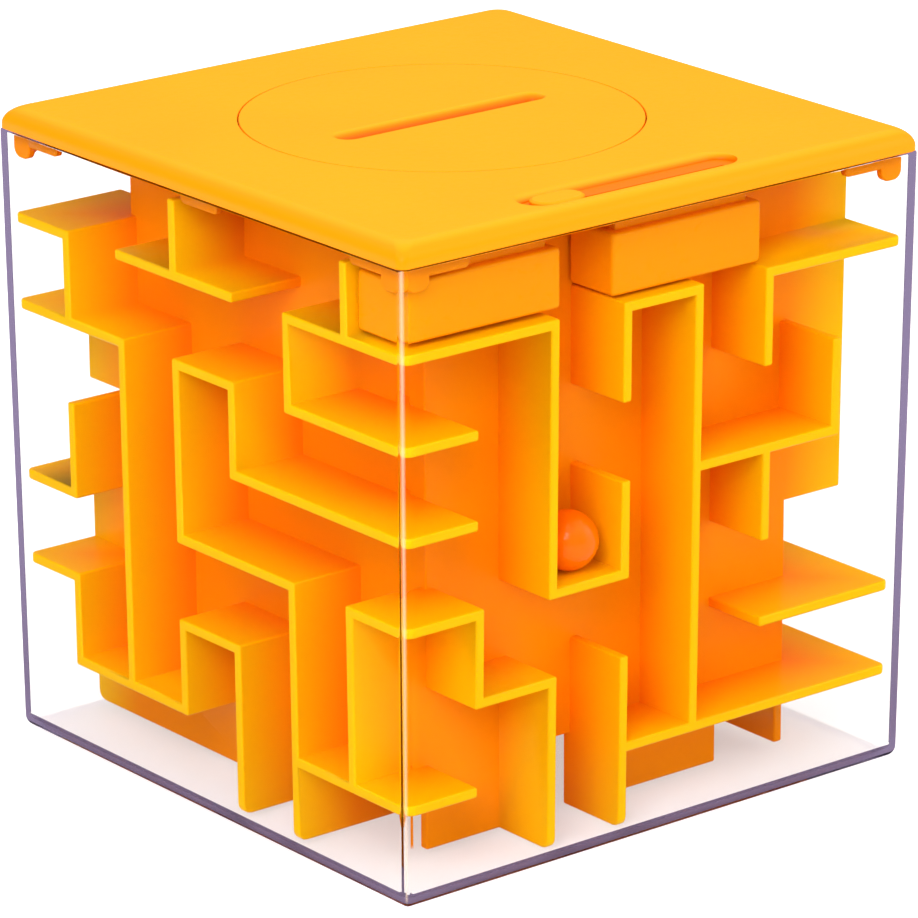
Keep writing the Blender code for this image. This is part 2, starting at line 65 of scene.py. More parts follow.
CASE_TAPER = 0.7
CASE_TOP_HALF = CASE_HIGH[0]
CASE_BOTTOM_HALF = CASE_TOP_HALF - CASE_TAPER
CASE_HEIGHT = CASE_HIGH[2]
CASE_FOOT = 1.6
CASE_WALL = 1.2
CASE_FLOOR = 1.2
CORNER_LOW = 1.35
CORNER_HIGH = 1.0

RIM_GAP = 0.04
LID_TOP = DISC_HIGH[2]
LID_UNDER = CASE_HEIGHT + RIM_GAP
SKIN_BOTTOM = LID_TOP - 1.7
LID_EDGE_ROUND = 2.4

SEAM = 0.15
DISC_CENTRE = ((DISC_LOW[0] + DISC_HIGH[0]) / 2, (DISC_LOW[1] + DISC_HIGH[1]) / 2)
DISC_RADIUS = (DISC_HIGH[0] - DISC_LOW[0]) / 2
DISC_EASE = 0.12
LEDGE_Z = LID_TOP - 1.2
LEDGE_RADIUS = DISC_RADIUS - 1.6
COIN_SLOT_LENGTH = 33.0
COIN_SLOT_WIDTH = 2.6
COIN_SLOT_ROUND = 1.5

TRACK_LEFT = BUTTON_LOW[0] - 1.3
TRACK_LENGTH = 34.6
TRACK_RIGHT = TRACK_LEFT + TRACK_LENGTH
TRACK_WIDTH = 4.9
TRACK_CENTRE = ((TRACK_LEFT + TRACK_RIGHT) / 2, (BUTTON_LOW[1] + BUTTON_HIGH[1]) / 2)
TRACK_DEPTH = 0.75
TRACK_FLOOR = LID_TOP - TRACK_DEPTH
TRACK_ROUND = 2.0
THROUGH_WIDTH = 2.2

TAB_OUTER = 41.15
TAB_THICK = 1.1
TAB_WIDTH = 3.7
TAB_BOTTOM = 80.8
RIB_WIDTH = 6.3
RIB_BOTTOM = 82.6


# ---------------------------------------------------------------- mesh helpers

def rounded_square(half, radius, steps=10):
    """A rounded square, anticlockwise, with steps + 1 points in each corner."""
    points = []
    for quarter, (side_x, side_y) in enumerate(((1, 1), (-1, 1), (-1, -1), (1, -1))):
        for step in range(steps + 1):
            angle = math.radians(90.0 * (quarter + step / steps))
            x = side_x * (half - radius) + radius * math.cos(angle)
            y = side_y * (half - radius) + radius * math.sin(angle)
            points.append((x, y))
    return points


def stadium(length, width, centre, steps=16):
    """A slot outline with round ends, along X."""
    points = []
    for end, start in ((1, -90.0), (-1, 90.0)):
        for step in range(steps + 1):
            angle = math.radians(start + 180.0 * step / steps)
            x = end * (length - width) / 2 + width / 2 * math.cos(angle)
            points.append((centre[0] + x, centre[1] + width / 2 * math.sin(angle)))
    return points


def circle(radius, centre, steps=128):
    turns = [2 * math.pi * step / steps for step in range(steps)]
    return [(centre[0] + radius * math.cos(t), centre[1] + radius * math.sin(t)) for t in turns]


def arc(start, end, steps):
    """Angles in radians from start to end degrees."""
    return [math.radians(start + (end - start) * step / steps) for step in range(steps + 1)]


def ring(mesh_data, outline, z):
    return [mesh_data.verts.new((x * MM, y * MM, z * MM)) for x, y in outline]


def bridge(mesh_data, first, second):
    """Quads between two rings of the same number of points."""
    count = len(first)
    for index in range(count):
        after = (index + 1) % count
        mesh_data.faces.new((first[index], first[after], second[after], second[index]))


def stack(mesh_data, sections):
    """Rings through the sections, bridged in turn. Returns the rings."""
    rings = [ring(mesh_data, outline, z) for outline, z in sections]
    for first, second in zip(rings, rings[1:]):
        bridge(mesh_data, first, second)
    return rings


def loop_edges(mesh_data, loop):
    edges = []
    for index, vertex in enumerate(loop):
        after = loop[(index + 1) % len(loop)]
        edges.append(mesh_data.edges.get((vertex, after)) or mesh_data.edges.new((vertex, after)))
    return edges


def fill_flat(mesh_data, outer, holes=()):
    """Closes a flat area between an outer ring and the rings of its holes."""
    edges = loop_edges(mesh_data, outer)
    for hole in holes:
        edges += loop_edges(mesh_data, hole)
    bmesh.ops.triangle_fill(mesh_data, use_beauty=True, use_dissolve=False, edges=edges)


def make_piece(name, mesh_data, smooth_angle=SMOOTH_ANGLE):
    bmesh.ops.recalc_face_normals(mesh_data, faces=mesh_data.faces)
    mesh = bpy.data.meshes.new(name)
    mesh_data.to_mesh(mesh)
    mesh_data.free()
    mesh.shade_smooth()
    mesh.set_sharp_from_angle(angle=math.radians(smooth_angle))
    piece = bpy.data.objects.new(name, mesh)
    bpy.context.scene.collection.objects.link(piece)
    return piece


def apply_modifiers(piece):
    """The mesh as its modifiers leave it."""
    graph = bpy.context.evaluated_depsgraph_get()
    mesh = bpy.data.meshes.new_from_object(piece.evaluated_get(graph))
    piece.modifiers.clear()
    piece.data = mesh


def combine(piece, tool, operation, touch_itself=False):
    """A Boolean with a tool object, which is used up."""
    step = piece.modifiers.new(operation, "BOOLEAN")
    step.operation = operation
    step.object = tool
    step.solver = "EXACT"
    step.use_self = touch_itself
    apply_modifiers(piece)
    bpy.data.objects.remove(tool)


def flat_normals(piece):
    """Wide flat faces keep their own normals, so that only the rounded edges bend the light."""
    piece.data.set_sharp_from_angle(angle=math.radians(SMOOTH_ANGLE))
    normals = piece.modifiers.new("flat_faces", "WEIGHTED_NORMAL")
    normals.keep_sharp = True
    normals.weight = 100
    apply_modifiers(piece)


def refine_node(node, name, width, segments=3, limit=30.0):
    """A new piece in a CAD node's own shape, with its outer edges rounded off and its inner corners crisp."""
    mesh_data = bmesh.new()
    mesh_data.from_mesh(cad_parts[node].data)
    bmesh.ops.remove_doubles(mesh_data, verts=mesh_data.verts, dist=1e-6)
    bmesh.ops.dissolve_limit(
        mesh_data, angle_limit=math.radians(0.5), verts=mesh_data.verts, edges=mesh_data.edges
    )
    bmesh.ops.recalc_face_normals(mesh_data, faces=mesh_data.faces)
    weight = mesh_data.edges.layers.float.new("bevel_weight_edge")
    for edge in mesh_data.edges:
        if len(edge.link_faces) == 2 and edge.calc_face_angle_signed() > math.radians(limit):
            edge[weight] = 1.0
    piece = make_piece(name, mesh_data)
    rounding = piece.modifiers.new("round_edges", "BEVEL")
    rounding.width = width * MM
    rounding.segments = segments
    rounding.limit_method = "WEIGHT"
    rounding.use_clamp_overlap = True
    rounding.miter_outer = "MITER_ARC"
    apply_modifiers(piece)
    piece.data.shade_smooth()
    flat_normals(piece)
    return piece


# ---------------------------------------------------------------- materials

LID_LIGHT, LID_DARK = (1.0, 0.36, 0.0), (1.0, 0.345, 0.0)
CORE_LIGHT, CORE_DARK = (1.0, 0.29, 0.0), (1.0, 0.27, 0.0)
BLOCK_LIGHT, BLOCK_DARK = (1.0, 0.34, 0.0), (1.0, 0.32, 0.0)
BALL_LIGHT, BALL_DARK = (1.0, 0.19, 0.0), (1.0, 0.17, 0.0)
# Painted light: the core's walls are painted paler towards their outer edges, between these two distances
# from the middle.
CORE_PAINTED_EDGE_LIGHT = (1.0, 0.55, 0.0)
EDGE_LIGHT_NEAR, EDGE_LIGHT_FAR = 31.0, 41.0
# Painted shade: a deeper tone for the lid's leaning faces.
RIM_PAINTED_SHADE = (1.0, 0.285, 0.0)
# Painted shade: the lid's grooves are painted deeper from just below its top downwards, inside the rim.
GROOVE_PAINTED_SHADE = (0.8, 0.15, 0.0)
GROOVE_SHADE_DEPTH = 0.8
GROOVE_SHADE_START = 0.1
GROOVE_SHADE_REACH = 40.3
STYRENE_IOR = 1.5
CASE_IOR = 1.57
CASE_TINT = (0.95, 0.945, 0.943, 1.0)
MIRROR_TINT = (0.62, 0.52, 0.7, 1.0)
TONER = (0.19, 0.15, 0.25, 1.0)
SHADOW_TINT = (0.985, 0.98, 0.985, 1.0)
# Painted highlight: a pale diffuse streak on the case's rounded upright corners.
CORNER_HIGHLIGHT_TONE = (0.98, 0.74, 0.55, 1.0)
CORNER_HIGHLIGHT_INSETS = (0.62, 0.35)
CORNER_HIGHLIGHT_SHARE = 0.4
POLARISING = 2.4
STEEL_DARK, STEEL_LIGHT = (0.66, 0.66, 0.68, 1.0), (0.8, 0.8, 0.81, 1.0)


def node_material(name):
    material = bpy.data.materials.new(name)
    material.use_nodes = True
    tree = material.node_tree
    return material, tree, tree.nodes["Principled BSDF"], tree.nodes["Material Output"]


def add_node(tree, kind, **inputs):
    node = tree.nodes.new(kind)
    for key, value in inputs.items():
        node.inputs[key.replace("_", " ")].default_value = value
    return node


def noise_at(tree, scale, detail, roughness=0.5):
    """Noise in the object's own space."""
    place = tree.nodes.new("ShaderNodeTexCoord")
    noise = add_node(tree, "ShaderNodeTexNoise", Scale=scale, Detail=detail, Roughness=roughness)
    tree.links.new(place.outputs["Object"], noise.inputs["Vector"])
    return noise.outputs["Fac"]


def ramp(tree, source, stops):
    node = tree.nodes.new("ShaderNodeValToRGB")
    node.color_ramp.elements[0].position = stops[0][0]
    node.color_ramp.elements[0].color = stops[0][1]
    node.color_ramp.elements[1].position = stops[1][0]
    node.color_ramp.elements[1].color = stops[1][1]
    tree.links.new(source, node.inputs["Fac"])
    return node.outputs["Color"]


def grey(value):
    return (value, value, value, 1.0)


def math_node(tree, operation, *values):
    """A sum on sockets or plain numbers, in the order of the node's inputs."""
    node = tree.nodes.new("ShaderNodeMath")
    node.operation = operation
    for socket, value in zip(node.inputs, values):
        if isinstance(value, (int, float)):
            socket.default_value = value
        else:
            tree.links.new(value, socket)
    return node.outputs["Value"]


def blend_tone(tree, share, colour, tone):
    """The colour, changed towards a tone by a share from 0 to 1."""
    blend = tree.nodes.new("ShaderNodeMix")
    blend.data_type = "RGBA"
    tree.links.new(share, blend.inputs["Factor"])
    tree.links.new(colour, blend.inputs["A"])
    blend.inputs["B"].default_value = (*tone, 1.0)
    return blend.outputs["Result"]


def map_range(tree, source, low, high, to_low=0.0, to_high=1.0):
    """The source from low to high, spread over to_low to to_high and held at those ends."""
    node = add_node(tree, "ShaderNodeMapRange")
    node.inputs["From Min"].default_value = low
    node.inputs["From Max"].default_value = high
    node.inputs["To Min"].default_value = to_low
    node.inputs["To Max"].default_value = to_high
    tree.links.new(source, node.inputs["Value"])
    return node.outputs["Result"]


def object_axis(tree, kind, axis):
    """One axis of the object's own position ("Object") or of its surface direction ("Normal")."""
    place = tree.nodes.new("ShaderNodeTexCoord")
    split = tree.nodes.new("ShaderNodeSeparateXYZ")
    tree.links.new(place.outputs[kind], split.inputs["Vector"])
    return split.outputs[axis]


def side_distance(tree, operation):
    """The larger (MAXIMUM) or smaller (MINIMUM) of the distances from the middle line along X and Y."""
    along_x, along_y = (math_node(tree, "ABSOLUTE", object_axis(tree, "Object", axis)) for axis in "XY")
    return math_node(tree, operation, along_x, along_y)


def reach_outward(tree, near, far):
    """0 at the near distance from the object's middle line, 1 at the far one, square to the sides."""
    return map_range(tree, side_distance(tree, "MAXIMUM"), near * MM, far * MM)


def lid_painted_shade(tree, colour):
    """Painted shade: faces that lean away from flat, the rims and sides, are painted deeper than the flat
    skin, and the grooves deeper still.
    """
    flat_from = 0.75
    # Painted shade: faces that lean from flat towards upright take the deeper rim tone.
    leaning_shade = map_range(tree, object_axis(tree, "Normal", "Z"), flat_from, 1.0, 1.0, 0.0)
    colour = blend_tone(tree, leaning_shade, colour, RIM_PAINTED_SHADE)
    # Painted shade: the surface sinking below the lid's top, inside the rim, is painted towards the deep
    # groove tone.
    height = object_axis(tree, "Object", "Z")
    sunk_shade = map_range(tree, height, (LID_TOP - GROOVE_SHADE_DEPTH) * MM, (LID_TOP - GROOVE_SHADE_START) * MM, 1.0, 0.0)
    inside_rim_shade = map_range(tree, reach_outward(tree, GROOVE_SHADE_REACH, GROOVE_SHADE_REACH + 0.2), 0.0, 1.0, 1.0, 0.0)
    return blend_tone(tree, math_node(tree, "MULTIPLY", sunk_shade, inside_rim_shade), colour, GROOVE_PAINTED_SHADE)


def moulded_plastic(name, light, dark, rough_low, rough_high, specular, painted_edge_light=None, painted_shade_tones=None):
    """Glossy styrene: slow colour drift from the melt's flow, fine texture from the mould, light wear. The
    edge
    tone is painted light: walls paler towards their outer edges, for light that soaks in and comes out there."""
    material, tree, shader, _ = node_material(name)
    drift = noise_at(tree, 45.0, 2.0)
    colour = ramp(tree, drift, ((0.3, (*dark, 1.0)), (0.7, (*light, 1.0))))
    # Painted light: paler towards the walls' outer edges.
    if painted_edge_light:
        colour = blend_tone(tree, reach_outward(tree, EDGE_LIGHT_NEAR, EDGE_LIGHT_FAR), colour, painted_edge_light)
    # Painted shade, where the material is given a function for it.
    if painted_shade_tones:
        colour = painted_shade_tones(tree, colour)
    tree.links.new(colour, shader.inputs["Base Color"])
    scuffs = noise_at(tree, 900.0, 6.0, 0.65)
    gloss = ramp(tree, scuffs, ((0.35, grey(rough_low)), (0.75, grey(rough_high))))
    tree.links.new(gloss, shader.inputs["Roughness"])
    grain = add_node(tree, "ShaderNodeBump", Strength=0.04, Distance=0.00002)
    tree.links.new(noise_at(tree, 3000.0, 3.0), grain.inputs["Height"])
    tree.links.new(grain.outputs["Normal"], shader.inputs["Normal"])
    shader.inputs["IOR"].default_value = STYRENE_IOR
    shader.inputs["Specular IOR Level"].default_value = specular
    return material


def corner_highlight(tree):
    """A painted highlight along the case's upright corners: 0 on the walls, a share of it on the corner's
    round.
    """
    slope = -(CASE_TOP_HALF - CASE_BOTTOM_HALF) / CASE_HEIGHT
    nearest = side_distance(tree, "MINIMUM")
    upright = math_node(tree, "MULTIPLY_ADD", object_axis(tree, "Object", "Z"), slope, nearest)
    low, high = (CASE_BOTTOM_HALF - inset for inset in CORNER_HIGHLIGHT_INSETS)
    return map_range(tree, upright, low * MM, high * MM, 0.0, CORNER_HIGHLIGHT_SHARE)


def mix_shaders(tree, share, first, second):
    node = tree.nodes.new("ShaderNodeMixShader")
    for socket, source in zip(node.inputs, (share, first, second)):
        tree.links.new(source, socket)
    return node.outputs["Shader"]


def clear_plastic():
    """Clear styrene with a violet toner. Face-on it barely mirrors, as through a polarised lens, and light
    that runs along inside a wall takes on the toner's colour. Lamps reach what stands behind it."""
    material, tree, shader, output = node_material("clear_styrene")
    tree.nodes.remove(shader)
    scuffs = noise_at(tree, 350.0, 5.0, 0.6)
    gloss = ramp(tree, scuffs, ((0.45, grey(0.0)), (0.8, grey(0.03))))
    bend = add_node(tree, "ShaderNodeBsdfRefraction", IOR=CASE_IOR, Color=CASE_TINT)
    mirror = add_node(tree, "ShaderNodeBsdfGlossy", Color=MIRROR_TINT)
    tree.links.new(gloss, bend.inputs["Roughness"])
    tree.links.new(gloss, mirror.inputs["Roughness"])
    share = add_node(tree, "ShaderNodeFresnel", IOR=CASE_IOR)
    polarised = math_node(tree, "POWER", share.outputs["Fac"], POLARISING)
    toner = add_node(tree, "ShaderNodeBsdfTransparent", Color=TONER)
    side = tree.nodes.new("ShaderNodeNewGeometry")
    path = tree.nodes.new("ShaderNodeLightPath")
    through = add_node(tree, "ShaderNodeBsdfTransparent", Color=SHADOW_TINT)
    # Painted highlight: a pale diffuse surface, mixed onto the corners' round by the corner mask.
    painted_highlight = add_node(tree, "ShaderNodeBsdfDiffuse", Color=CORNER_HIGHLIGHT_TONE)
    turned = mix_shaders(tree, side.outputs["Backfacing"], mirror.outputs["BSDF"], toner.outputs["BSDF"])
    clear = mix_shaders(tree, polarised, bend.outputs["BSDF"], turned)
    surface = mix_shaders(tree, corner_highlight(tree), clear, painted_highlight.outputs["BSDF"])
    whole = mix_shaders(tree, path.outputs["Is Shadow Ray"], surface, through.outputs["BSDF"])
    tree.links.new(whole, output.inputs["Surface"])
    return material


def steel(name, rough_low, rough_high, scratches):
    """Metal with fine scratches in its shine."""
    material, tree, shader, _ = node_material(name)
    shader.inputs["Metallic"].default_value = 1.0
    tone = ramp(tree, noise_at(tree, 300.0, 4.0),
                ((0.3, STEEL_DARK), (0.7, STEEL_LIGHT)))
    tree.links.new(tone, shader.inputs["Base Color"])
    gloss = ramp(tree, noise_at(tree, scratches, 8.0, 0.7),
                 ((0.4, grey(rough_low)), (0.75, grey(rough_high))))
    tree.links.new(gloss, shader.inputs["Roughness"])
    return material


LID_PLASTIC = moulded_plastic("lid_plastic", LID_LIGHT, LID_DARK, 0.3, 0.4, 0.07, painted_shade_tones=lid_painted_shade)
CORE_PLASTIC = moulded_plastic("core_plastic", CORE_LIGHT, CORE_DARK, 0.28, 0.4, 0.06, CORE_PAINTED_EDGE_LIGHT)
BLOCK_PLASTIC = moulded_plastic("block_plastic", BLOCK_LIGHT, BLOCK_DARK, 0.26, 0.36, 0.06)
BALL_PLASTIC = moulded_plastic("ball_plastic", BALL_LIGHT, BALL_DARK, 0.12, 0.2, 0.12)
CASE_PLASTIC = clear_plastic()
SCREW_STEEL = steel("screw_steel", 0.25, 0.42, 1500.0)


def finish_piece(piece, body, slot, material, *nodes):
    piece.data.materials.clear()
    piece.data.materials.append(material)
    if nodes:
        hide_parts(*nodes)
    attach(piece, body)
    return piece


# ---------------------------------------------------------------- clear case

def case_half(z):
    """Half the case's width at a height, on its tapering outside."""
    return CASE_BOTTOM_HALF + (CASE_TOP_HALF - CASE_BOTTOM_HALF) * z / CASE_HEIGHT


def build_case():
    """The walls taper, the foot is rounded outside and inside, and the rim's edges are eased."""
    steps = 12
    least_corner = 0.3
    foot_flat = 0.4
    sections = [(rounded_square(CASE_BOTTOM_HALF - CASE_FOOT - foot_flat, least_corner, steps), 0.0)]
    for angle in arc(0.0, 90.0, steps):
        z = CASE_FOOT * (1 - math.cos(angle))
        inset = CASE_FOOT * (1 - math.sin(angle))
        corner = max(CORNER_LOW - inset, least_corner)
        sections.append((rounded_square(case_half(z) - inset, corner, steps), z))
    ease = 0.2
    outer_top = CASE_HEIGHT - ease
    for part in (0.02, 0.35, 0.7):
        z = CASE_FOOT + (outer_top - CASE_FOOT) * part
        corner = CORNER_LOW + (CORNER_HIGH - CORNER_LOW) * part
        sections.append((rounded_square(case_half(z), corner, steps), z))
    for angle in arc(0.0, 90.0, 4):
        z = outer_top + ease * math.sin(angle)
        inset = ease * (1 - math.cos(angle))
        sections.append((rounded_square(case_half(outer_top) - inset, CORNER_HIGH - inset, steps), z))
    inner_round = 0.2
    inner_corner = 0.45
    for angle in arc(90.0, 0.0, 3):
        z = CASE_HEIGHT - inner_round + inner_round * math.sin(angle)
        inset = CASE_WALL - inner_round * (1 - math.cos(angle))
        sections.append((rounded_square(case_half(CASE_HEIGHT) - inset, inner_corner, steps), z))
    inner_foot = 0.9
    rim_zone = 1.0
    for part in (0.6, 0.3, 0.0):
        z = CASE_FLOOR + inner_foot + (CASE_HEIGHT - CASE_FLOOR - inner_foot - rim_zone) * part
        sections.append((rounded_square(case_half(z) - CASE_WALL, inner_corner, steps), z))
    foot_corner = 0.25
    for angle in arc(0.0, 90.0, 6):
        z = CASE_FLOOR + inner_foot * (1 - math.sin(angle))
        inset = CASE_WALL + inner_foot * (1 - math.cos(angle))
        sections.append((rounded_square(case_half(z) - inset, foot_corner, steps), z))
    mesh_data = bmesh.new()
    rings = stack(mesh_data, sections)
    mesh_data.faces.new(list(reversed(rings[0])))
    mesh_data.faces.new(rings[-1])
    piece = make_piece("clear_case_shell", mesh_data, 50.0)
    flat_normals(piece)
    return finish_piece(piece, "case", "clear_plastic", CASE_PLASTIC, "clear_case")


# ---------------------------------------------------------------- lid

def funnel(mesh_data, shape, top, radius, bottom, steps=7, drop=None):
    """A hole's edge rolled over by radius, or over an ellipse that drops less than it reaches, then its
    straight wall down to bottom. shape(offset) is its outline. Returns its outermost and lowest ring."""
    drop = drop or radius
    sections = [(shape(radius + 0.12), top)]
    for angle in arc(90.0, 0.0, steps):
        sections.append((shape(radius * (1 - math.cos(angle))), top - drop * (1 - math.sin(angle))))
    if top - drop > bottom + 0.01:
        sections.append((shape(0.0), bottom))
    rings = stack(mesh_data, sections)
    return rings[0], rings[-1]


def leaning_stadium(length, width, centre, offset, front, ends):
    """A slot outline that grows by offset at the back, and by a share of it at the front and the ends."""
    middle = (centre[0], centre[1] + offset * (1 - front) / 2)
    return stadium(length + 2 * offset * ends, width + offset * (1 + front), middle)


def seat_outline(offset):
    """The disc's hole in the lid, grown by offset."""
    return circle(DISC_RADIUS + SEAM + offset, DISC_CENTRE)


def track_outline(offset):
    """The button's track, grown by offset. Its front edge stays crisp."""
    return leaning_stadium(TRACK_LENGTH, TRACK_WIDTH, TRACK_CENTRE, offset, 0.03, 0.15)


def coin_slot_outline(offset):
    return leaning_stadium(COIN_SLOT_LENGTH, COIN_SLOT_WIDTH, DISC_CENTRE, offset, 0.3, 0.7)


def lid_sections():
    """The lid's outlines from the recess below it, round its rolled edge, to its flat top."""
    half = CASE_TOP_HALF - 0.08
    recess = half - 3.1
    recess_corner = 1.0
    lower_ease = 0.12
    corner_low = 1.2
    corner_high = 2.4
    steps = 12
    sections = [
        (rounded_square(recess - 0.1, recess_corner, steps), SKIN_BOTTOM),
        (rounded_square(recess, recess_corner, steps), SKIN_BOTTOM),
        (rounded_square(recess, recess_corner, steps), LID_UNDER),
        (rounded_square(half - lower_ease, corner_low, steps), LID_UNDER),
        (rounded_square(half, corner_low, steps), LID_UNDER + lower_ease),
    ]
    for angle in arc(0.0, 90.0, 14):
        inset = LID_EDGE_ROUND * (1 - math.cos(angle))
        z = LID_TOP - LID_EDGE_ROUND + LID_EDGE_ROUND * math.sin(angle)
        corner = corner_low + (corner_high - corner_low) * inset / LID_EDGE_ROUND
        sections.append((rounded_square(half - inset, corner, steps), z))
    sections.append((rounded_square(half - LID_EDGE_ROUND - 0.15, corner_high, steps), LID_TOP))
    return sections


def build_lid():
    """The plate with its rolled edge, the disc's hole and ledge, and the track with its through slot."""
    mesh_data = bmesh.new()
    rings = stack(mesh_data, lid_sections())

    top_hole, disc_low = funnel(mesh_data, seat_outline, LID_TOP, DISC_EASE, LEDGE_Z, 3)
    ledge = ring(mesh_data, circle(LEDGE_RADIUS, DISC_CENTRE), LEDGE_Z)
    bridge(mesh_data, disc_low, ledge)
    ledge_low = ring(mesh_data, circle(LEDGE_RADIUS, DISC_CENTRE), SKIN_BOTTOM)
    bridge(mesh_data, ledge, ledge_low)

    track_top, track_low = funnel(
        mesh_data, track_outline, LID_TOP, TRACK_ROUND, TRACK_FLOOR, 10, TRACK_DEPTH
    )
    left, right = TRACK_LEFT + 2.0, TRACK_RIGHT - 2.0
    front = TRACK_CENTRE[1] - TRACK_WIDTH / 2 + 0.02
    back = front + THROUGH_WIDTH
    slot = [(left, front), (right, front), (right, back), (left, back)]
    slot_top = ring(mesh_data, slot, TRACK_FLOOR)
    slot_low = ring(mesh_data, slot, SKIN_BOTTOM)
    bridge(mesh_data, slot_top, slot_low)
    fill_flat(mesh_data, track_low, [slot_top])
    fill_flat(mesh_data, rings[-1], [top_hole, track_top])
    fill_flat(mesh_data, rings[0], [ledge_low, slot_low])
    piece = make_piece("lid_plate", mesh_data)
    build_tabs(piece)
    piece.data.shade_smooth()
    piece.data.set_sharp_from_angle(angle=math.radians(SMOOTH_ANGLE))
    return finish_piece(piece, "lid", "orange_plastic", LID_PLASTIC, "lid")


def side_place(side, along, out):
    """A point on one of the four sides, by its place along the side and its distance from the middle."""
    if side == "front":
        return along, -out
    if side == "back":
        return -along, out
    if side == "left":
        return -out, -along
    return out, along


def add_tab(side, first, last, bottom, round_ends):
    """A thin wall under the lid's edge, with its lower corners rounded and its edges eased."""
    top = LID_UNDER + 0.5
    ease = 0.15
    inner = TAB_OUTER - TAB_THICK
    outline = [(first, top)]
    for corner, start in ((first + round_ends, 180.0), (last - round_ends, 270.0)):
        for angle in arc(start, start + 90.0, 8):
            along = corner + round_ends * math.cos(angle)
            outline.append((along, bottom + round_ends * (1 + math.sin(angle))))
    outline.append((last, top))
    middle = (first + last) / 2
    centre_z = (bottom + top) / 2
    mesh_data = bmesh.new()
    rings = []
    for out, shrink in ((inner, ease), (inner + ease, 0.0), (TAB_OUTER - ease, 0.0), (TAB_OUTER, ease)):
        loop = []
        for along, z in outline:
            reach = 1 - shrink / (last - first) * 2
            drop = 1 - shrink / (top - bottom) * 2
            x, y = side_place(side, middle + (along - middle) * reach, out)
            loop.append(mesh_data.verts.new((x * MM, y * MM, (centre_z + (z - centre_z) * drop) * MM)))
        rings.append(loop)
    for inward, outward in zip(rings, rings[1:]):
        bridge(mesh_data, inward, outward)
    mesh_data.faces.new(list(reversed(rings[0])))
    mesh_data.faces.new(rings[-1])
    return make_piece(f"tab_{side}", mesh_data)


def build_tabs(lid):
    """The corner tabs, the shallow ribs beside them and the middle ribs, all one with the lid."""
    tab_start = TAB_OUTER - TAB_WIDTH
    tab_end = 41.0
    rib_start = tab_start - RIB_WIDTH
    overlap = 0.4
    middle_half = 3.9
    tab_round, rib_round = 1.3, 0.7
    for side in ("front", "back", "left", "right"):
        walls = []
        for sign in (-1, 1):
            walls.append((*sorted((sign * tab_start, sign * tab_end)), TAB_BOTTOM, tab_round))
            walls.append((*sorted((sign * rib_start, sign * (tab_start + overlap))), RIB_BOTTOM, rib_round))
        if side != "front":
            walls.append((-middle_half, middle_half, RIB_BOTTOM, rib_round))
        for first, last, bottom, round_ends in walls:
            combine(lid, add_tab(side, first, last, bottom, round_ends), "UNION")


def build_disc():
    """The round insert: a plate on the lid's ledge, a boss through its hole, and the coin slot."""
    shoulder = LID_TOP - 0.95
    boss = circle(DISC_RADIUS - 1.85, DISC_CENTRE)
    sections = [(boss, SKIN_BOTTOM), (boss, shoulder), (circle(DISC_RADIUS, DISC_CENTRE), shoulder)]
    for angle in arc(0.0, 90.0, 3):
        radius = DISC_RADIUS - DISC_EASE * (1 - math.cos(angle))
        sections.append((circle(radius, DISC_CENTRE), LID_TOP - DISC_EASE + DISC_EASE * math.sin(angle)))
    sections.append((circle(DISC_RADIUS - DISC_EASE - 0.1, DISC_CENTRE), LID_TOP))
    mesh_data = bmesh.new()
    rings = stack(mesh_data, sections)
    slot_top, slot_low = funnel(mesh_data, coin_slot_outline, LID_TOP, COIN_SLOT_ROUND, SKIN_BOTTOM)
    fill_flat(mesh_data, rings[-1], [slot_top])
    fill_flat(mesh_data, rings[0], [slot_low])
    piece = make_piece("coin_slot_disc_fine", mesh_data)
    return finish_piece(piece, "lid", "orange_plastic", LID_PLASTIC, "coin_slot_disc")


def build_ball():
    """A moulded ball, with the fine ridge that the two halves of its mould leave."""
    centre = [(low + high) / 2 for low, high in zip(BALL_LOW, BALL_HIGH)]
    radius = (BALL_HIGH[2] - BALL_LOW[2]) / 2 - 0.01
    ridge = 0.02
    ridge_width = math.radians(1.2)
    mesh_data = bmesh.new()
    bmesh.ops.create_uvsphere(mesh_data, u_segments=96, v_segments=97, radius=radius * MM)
    for vertex in mesh_data.verts:
        latitude = math.asin(max(-1.0, min(1.0, vertex.co.z / (radius * MM))))
        swell = ridge * math.exp(-(latitude / ridge_width) ** 2)
        vertex.co *= 1 + swell / radius
    turn = Matrix.Rotation(math.radians(35.0), 4, "X") @ Matrix.Rotation(math.radians(-20.0), 4, "Y")
    bmesh.ops.transform(mesh_data, matrix=turn, verts=mesh_data.verts)
    bmesh.ops.translate(mesh_data, vec=[value * MM for value in centre], verts=mesh_data.verts)
    piece = make_piece("maze_ball_fine", mesh_data)
    return finish_piece(piece, "ball", "orange_ball", BALL_PLASTIC, "maze_ball")


# ---------------------------------------------------------------- stage, light and camera

FLOOR_SIZE = 6.0
FLOOR_GAP = 0.2
FLOOR_GLOW = 0.62
WORLD_STRENGTH = 1.75
VIEW_AZIMUTH = -38.734
VIEW_ELEVATION = 18.436
VIEW_DISTANCE = 9.0567 * 0.086
VIEW_TARGET = (0.0, 0.0, 0.043)
VIEW_YAW, VIEW_PITCH, VIEW_ROLL = 0.000469, -0.003438, -0.004048
LENS = 229.17


def build_stage():
    """A plain pale floor just under the case's foot."""
    bpy.ops.mesh.primitive_plane_add(size=FLOOR_SIZE, location=(0.0, 0.0, -FLOOR_GAP * MM))
    floor = bpy.context.active_object
    floor.name = "studio_floor"
    material, _, shader, _ = node_material("studio_white")
    shader.inputs["Base Color"].default_value = grey(0.7)
    shader.inputs["Roughness"].default_value = 0.8
    shader.inputs["Specular IOR Level"].default_value = 0.1
    shader.inputs["Emission Color"].default_value = grey(1.0)
    shader.inputs["Emission Strength"].default_value = FLOOR_GLOW
    floor.data.materials.append(material)


